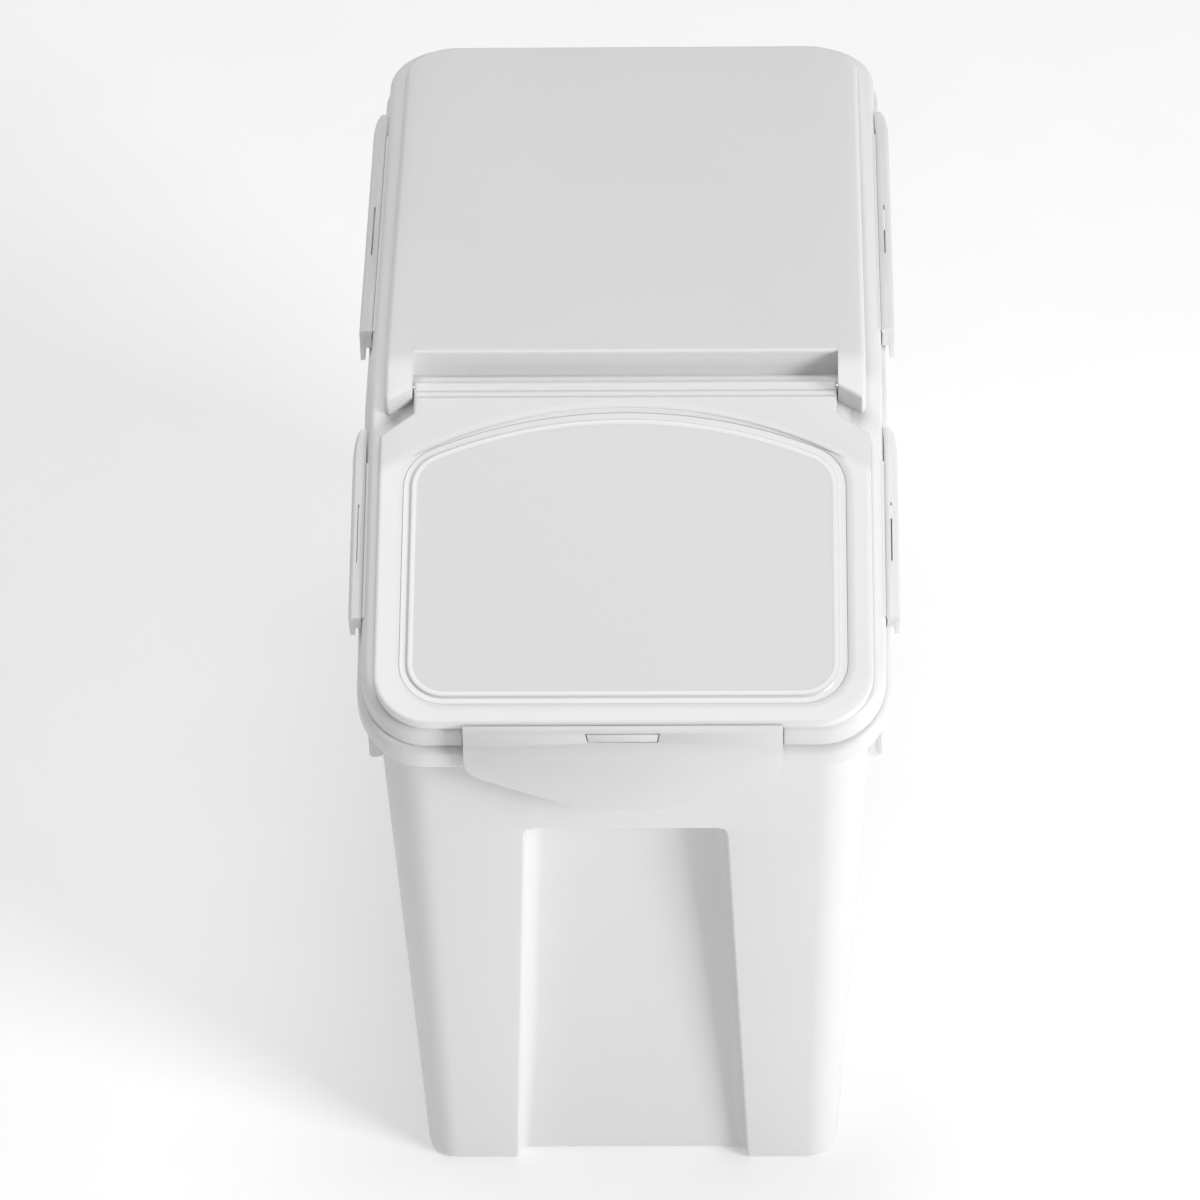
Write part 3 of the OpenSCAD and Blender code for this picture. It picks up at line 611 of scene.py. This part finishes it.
# The front latch: its pin down and above the slope, half width and outer face.
PIN_S, PIN_U, PIN_R = 145.6, 3.0, 1.3
LATCH_HW, LATCH_FACE = 57.3, -176.5


def make_front_latch():
    """The front latch: a thin bent plate, trimmed to its tongue's outline, with the slot."""
    py, pz = on_slope(0, PIN_S, PIN_U)[1:]
    face = LATCH_FACE
    prof = [(py, pz + PIN_R)]
    prof += arc(face + 2.2, pz - 1.0, 2.2, 88, 180, 8)
    prof += [(face, pz - 6.2), (face - 0.25, pz - 6.8), (face - 0.5, pz - 7.8), (face - 0.5, pz - 10.6),
             (face - 0.25, pz - 11.6), (face, pz - 12.2), (face, pz - 46)]
    prof += [(face + 1.4, pz - 46), (face + 1.4, pz - 2.0)] + arc(face + 2.2, pz - 1.8, 0.8, 180, 90, 4)
    prof += arc(py, pz, PIN_R, 250, 440, 10)[:-1]
    body = prism("latch", prof, lambda p, q, d: (d, p, q), -LATCH_HW, LATCH_HW)
    line = [(LATCH_HW, pz + 6), (LATCH_HW, pz - 12), (57.1, pz - 15), (56.2, pz - 18), (54.2, pz - 20.3),
            (51, pz - 22), (45, pz - 24.4), (38, pz - 27.4), (30, pz - 30.6), (22, pz - 33.6), (17, pz - 35.4),
            (13, pz - 36.5), (9, pz - 37.1)]
    line = line + [(-x, z) for x, z in reversed(line)]
    tongue = prism("tongue", line, lambda p, q, d: (p, d, q), face - 2, py + 3)
    cut(body, tongue, "INTERSECT")
    slot = [(13.3, pz - 0.1), (12.7, pz - 4.0), (12.3, pz - 4.4),
            (-12.4, pz - 4.4), (-12.8, pz - 4.0), (-13.6, pz - 0.1)]
    hole = prism("slot", slot, lambda p, q, d: (p, d, q), face - 2, face + 2.0)
    cut(body, hole)
    return bevelled(body, 0.3, 2, 35)


def on_level(x, run, up):
    """run goes rearwards from the crease along the level rim, up stands square on it."""
    return (x, KY + run, RZ + up)


def side_leaf(name, side, place, front, rear, slot):
    """A side latch: its film edge, the shoulder with its slot, and the leaf. place takes (x, run, up).
    The front end has a web and a rounded lower corner, and the rear end curves in."""
    px, out, low = 96.3, 99.95, -16.0
    tip, corner, lean = 14.0, 3.0, 3.7
    way = 1 if rear > front else -1
    prof = [(95.02, -0.95), (95.05, -2.0), (95.5, -2.75), (96.3, -2.9)] + arc(97.4, -3.7, 0.8, 90, 0, 5)
    prof += [(98.2, -15.4), (98.5, -15.85)] + arc(98.9, -14.9, 1.05, 270, 360, 5)
    prof += [(out, -2.6)] + arc(98.2, -2.3, 1.75, 0, 90, 8) + [(97.2, -0.5), (95.9, -0.55)]
    stops = []
    for i in range(7):
        c = 1 - math.cos(math.radians(15 * i))
        lift = corner - math.sqrt(max(0, corner ** 2 - (corner - corner * c) ** 2))
        stops.append((front + way * corner * c, 1 - 0.06 * (1 - min(1, 3 * c)), lift))
    for i in range(13):
        c = math.sin(math.radians(7.5 * i))
        width = (0.9 + (lean - 0.9) * math.sqrt(max(0.0, 1 - c * c))) / lean
        stops.append((rear - way * tip * (1 - c), width, 0.0))
    rings = []
    for run, wide, lift in stops:
        ring = []
        for x, u in prof:
            xx = x if x < px else px + (x - px) * wide
            ring.append(place(side * xx, run, max(u, low + lift + (u - low) * 0.3) if lift else u))
        rings.append(ring)
    end = [(95.35, -2.5), (98.6, -2.5), (98.6, -14.2), (98.35, -14.2), (97.98, -12.6), (97.98, -8.7), (95.35, -8.6)]
    web = prism("web", [(side * x, u) for x, u in end], lambda p, q, d: place(p, d, q),
                front + way * 0.15, front + way * 1.5)
    ob = loft(name, rings, angle=34)
    cut(ob, web, "UNION")
    hole = prism("slot", [(97.0, 1.0), (97.5, 1.0), (97.5, -3.4), (97.0, -3.4)],
                 lambda p, q, d: place(side * p, d, q), *slot)
    cut(ob, hole)
    ob.data.shade_smooth()
    ob.data.set_sharp_from_angle(angle=math.radians(34))
    return ob


# Materials

def noise_bump(nt, bsdf, scale, strength, distance):
    """A fine moulded grain; gives back the coordinates it uses."""
    coord = nt.nodes.new("ShaderNodeTexCoord")
    noise = nt.nodes.new("ShaderNodeTexNoise")
    noise.inputs["Scale"].default_value = scale
    noise.inputs["Detail"].default_value = 6.0
    bump = nt.nodes.new("ShaderNodeBump")
    bump.inputs["Strength"].default_value = strength
    bump.inputs["Distance"].default_value = distance
    nt.links.new(coord.outputs["Object"], noise.inputs["Vector"])
    nt.links.new(noise.outputs["Fac"], bump.inputs["Height"])
    nt.links.new(bump.outputs["Normal"], bsdf.inputs["Normal"])
    return coord


def plastic(name, color, rough, sss=0.0, coat=0.0, grain=900.0, bump=0.12, see=0.0, spread=0.02):
    """Moulded plastic with a fine grain and cloudy changes of tone and gloss; see lets light through."""
    mat = bpy.data.materials.new(name)
    mat.use_nodes = True
    nt = mat.node_tree
    bsdf = nt.nodes["Principled BSDF"]
    bsdf.inputs["Metallic"].default_value = 0.0
    bsdf.inputs["IOR"].default_value = 1.49
    bsdf.inputs["Subsurface Weight"].default_value = sss
    bsdf.inputs["Subsurface Radius"].default_value = (1.0, 1.0, 1.0)
    bsdf.inputs["Subsurface Scale"].default_value = 0.004
    bsdf.inputs["Coat Weight"].default_value = coat
    bsdf.inputs["Coat Roughness"].default_value = 0.15
    coord = noise_bump(nt, bsdf, grain, bump, 0.00008)
    cloud = nt.nodes.new("ShaderNodeTexNoise")
    cloud.inputs["Scale"].default_value = 14.0
    cloud.inputs["Detail"].default_value = 3.0
    ramp = nt.nodes.new("ShaderNodeMapRange")
    ramp.inputs["To Min"].default_value = rough - 0.05
    ramp.inputs["To Max"].default_value = rough + 0.07
    tint = nt.nodes.new("ShaderNodeMix")
    tint.data_type = "RGBA"
    tint.inputs["A"].default_value = (*(c * (1 - spread) for c in color), 1)
    tint.inputs["B"].default_value = (*(min(1, c * (1 + spread)) for c in color), 1)
    nt.links.new(coord.outputs["Object"], cloud.inputs["Vector"])
    nt.links.new(cloud.outputs["Fac"], ramp.inputs["Value"])
    nt.links.new(cloud.outputs["Fac"], tint.inputs["Factor"])
    nt.links.new(ramp.outputs["Result"], bsdf.inputs["Roughness"])
    nt.links.new(tint.outputs["Result"], bsdf.inputs["Base Color"])
    if see > 0:
        clear = nt.nodes.new("ShaderNodeBsdfTransparent")
        mix = nt.nodes.new("ShaderNodeMixShader")
        mix.inputs["Fac"].default_value = see
        nt.links.new(bsdf.outputs["BSDF"], mix.inputs[1])
        nt.links.new(clear.outputs["BSDF"], mix.inputs[2])
        nt.links.new(mix.outputs["Shader"], nt.nodes["Material Output"].inputs["Surface"])
    return mat


def tone_and_painted_shade(mat, other, at, normal, lo, hi):
    """Fades to the tone other where the distance from at, or along normal from it, passes lo to hi; on the door
    this paints shade.
    """
    nt = mat.node_tree
    base = nt.nodes["Principled BSDF"].inputs["Base Color"]
    first = base.links[0].from_socket
    coord = nt.nodes.new("ShaderNodeTexCoord")
    off = nt.nodes.new("ShaderNodeVectorMath")
    off.operation = "SUBTRACT"
    off.inputs[1].default_value = [v * MM for v in at]
    nt.links.new(coord.outputs["Object"], off.inputs[0])
    size = nt.nodes.new("ShaderNodeVectorMath")
    size.operation = "DOT_PRODUCT" if normal else "LENGTH"
    nt.links.new(off.outputs["Vector"], size.inputs[0])
    if normal:
        size.inputs[1].default_value = normal
    step = nt.nodes.new("ShaderNodeMapRange")
    step.interpolation_type = "SMOOTHSTEP"
    step.inputs["From Min"].default_value = lo * MM
    step.inputs["From Max"].default_value = hi * MM
    value = size.outputs["Value"]
    if normal:
        far = nt.nodes.new("ShaderNodeMath")
        far.operation = "ABSOLUTE"
        nt.links.new(value, far.inputs[0])
        value = far.outputs["Value"]
    nt.links.new(value, step.inputs["Value"])
    mix = nt.nodes.new("ShaderNodeMix")
    mix.data_type = "RGBA"
    mix.inputs["B"].default_value = (other, other, other, 1)
    nt.links.new(step.outputs["Result"], mix.inputs["Factor"])
    nt.links.new(first, mix.inputs["A"])
    nt.links.new(mix.outputs["Result"], base)


def metal(name, color, rough):
    """Drawn metal with a faint grain."""
    mat = bpy.data.materials.new(name)
    mat.use_nodes = True
    nt = mat.node_tree
    bsdf = nt.nodes["Principled BSDF"]
    bsdf.inputs["Base Color"].default_value = (*color, 1)
    bsdf.inputs["Metallic"].default_value = 1.0
    bsdf.inputs["Roughness"].default_value = rough
    noise_bump(nt, bsdf, 700.0, 0.2, 0.00005)
    return mat


WHITE = plastic("white_body", (0.79, 0.79, 0.79), 0.42, sss=0.12)
LID = plastic("white_lid", (0.80, 0.80, 0.80), 0.40, sss=0.15)
MILKY = plastic("milky", (0.87, 0.87, 0.87), 0.33, sss=0.2, see=0.07)
LATCH = plastic("milky_thin", (0.85, 0.85, 0.85), 0.3, sss=0.15, see=0.2)
PANE = plastic("smoky_pane", (0.66, 0.66, 0.66), 0.25, coat=0.3, see=0.10, bump=0.05)
# The door is a little darker outside its dished circle, which is painted shade, and the pane's border is lighter
# than the pane.
# Painted shade: the door's tab and corners outside the dish circle are darkened to 0.76.
tone_and_painted_shade(MILKY, 0.76, on_slope(0, DISH_S, 4.4), None, DISH_R - 2.5, DISH_R + 2.5)
tone_and_painted_shade(PANE, 0.84, on_slope(0, 0, 3.65), (0, -SN, CS), 0.05, 0.12)
SOFT = plastic("silicone", (0.80, 0.81, 0.82), 0.5, sss=0.3, grain=300.0)
CUP = plastic("milky_cup", (0.84, 0.85, 0.86), 0.3, sss=0.2, see=0.15)
WHEEL = plastic("wheel_grey", (0.10, 0.10, 0.11), 0.5, grain=500.0, bump=0.3)
STEEL = metal("drawn_steel", (0.62, 0.62, 0.63), 0.28)


def put(ob, mat, body, nodes):
    """Dresses a piece, ties it to its body and hides the nodes it stands for."""
    ob.data.materials.clear()
    ob.data.materials.append(mat)
    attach(ob, body)
    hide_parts(*nodes)


put(make_tub(), WHITE, "tub", ["bin_body"])
put(make_lid(), LID, "lid", ["lid_frame"])
put(make_door(), MILKY, "flip_door", ["door"])
put(make_window(), PANE, "flip_door", ["door_window"])
put(make_front_latch(), LATCH, "door_latch", ["front_latch"])
for side, word in ((-1, "left"), (1, "right")):
    put(side_leaf("leaf_%s_rear" % word, side, on_level, 31, 168, (77.7, 107.9)), LATCH,
        "side_latch_%s_rear" % word, ["latch_%s_rear" % word])
    put(side_leaf("leaf_%s_front" % word, side, on_slope, 98.5, 20, (51.4, 75.6)), LATCH,
        "side_latch_%s_front" % word, ["latch_%s_front" % word])

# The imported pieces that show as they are
FINISH = {
    "lid_gasket": SOFT, "door_gasket": SOFT, "hinge_pin_left": STEEL, "hinge_pin_right": STEEL,
    "cup_holder": LID, "measuring_cup": CUP, "wheel_left": WHEEL, "wheel_right": WHEEL,
    "axle_left": STEEL, "axle_right": STEEL}
for node, mat in FINISH.items():
    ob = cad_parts[node]
    ob.data.materials.clear()
    ob.data.materials.append(mat)

# Floor, light and camera

FAR, BELOW = 6000, -0.2
floor = mesh_object("floor", [(-FAR, -FAR, BELOW), (FAR, -FAR, BELOW), (FAR, FAR, BELOW), (-FAR, FAR, BELOW)],
                    [(0, 1, 2, 3)])
paper = plastic("paper", (0.92, 0.92, 0.92), 0.8, bump=0.02)
paper_bsdf = paper.node_tree.nodes["Principled BSDF"]
paper_bsdf.inputs["Emission Color"].default_value = (1, 1, 1, 1)
paper_bsdf.inputs["Emission Strength"].default_value = 0.2
floor.data.materials.append(paper)

world = bpy.data.worlds.new("studio")
world.use_nodes = True
world.node_tree.nodes["Background"].inputs["Color"].default_value = (1, 1, 1, 1)
world.node_tree.nodes["Background"].inputs["Strength"].default_value = 0.25
bpy.context.scene.world = world


def area(name, where, aim, size, power):
    """An area light in metres and watts, turned to its aim."""
    light = bpy.data.lights.new(name, "AREA")
    light.shape = "RECTANGLE"
    light.size, light.size_y = size
    light.energy = power
    ob = bpy.data.objects.new(name, light)
    d = Vector(aim) - Vector(where)
    ob.matrix_world = Matrix.Translation(Vector(where)) @ d.to_track_quat("-Z", "Y").to_matrix().to_4x4()
    bpy.context.scene.collection.objects.link(ob)


area("key", (1.85, -1.3, 1.0), (0, 0, 0.15), (0.9, 0.8), 35)
area("top", (-0.2, 0.3, 2.6), (0, 0, 0.2), (1.6, 1.6), 30)
bpy.context.scene.view_settings.view_transform = "Standard"

# The camera fitted to the photo: downward pitch, yaw and roll, focal length in pixels of its width, and place.
PITCH, YAW, ROLL = (math.radians(a) for a in (40.4483, 1.8239, -1.3821))
FOCAL, WIDTH, SENSOR = 6217.976, 1200.0, 36.0
EYE = (45.9017 * MM, (-1797.924 + KY) * MM, 1715.133 * MM)
fwd = (-math.sin(YAW) * math.cos(PITCH), math.cos(YAW) * math.cos(PITCH), -math.sin(PITCH))
right = (math.cos(YAW), math.sin(YAW), 0.0)
up = (right[1] * fwd[2] - right[2] * fwd[1], right[2] * fwd[0] - right[0] * fwd[2],
      right[0] * fwd[1] - right[1] * fwd[0])
cr, sr = math.cos(ROLL), math.sin(ROLL)
rx = [cr * a + sr * b for a, b in zip(right, up)]
ux = [-sr * a + cr * b for a, b in zip(right, up)]
cam = bpy.data.objects.new("camera", bpy.data.cameras.new("camera"))
cam.data.sensor_width = SENSOR
cam.data.lens = FOCAL * SENSOR / WIDTH
cam.data.clip_end = 30.0
cam.matrix_world = Matrix((
    (rx[0], ux[0], -fwd[0], EYE[0]), (rx[1], ux[1], -fwd[1], EYE[1]), (rx[2], ux[2], -fwd[2], EYE[2]),
    (0, 0, 0, 1)))
bpy.context.scene.collection.objects.link(cam)
bpy.context.scene.camera = cam
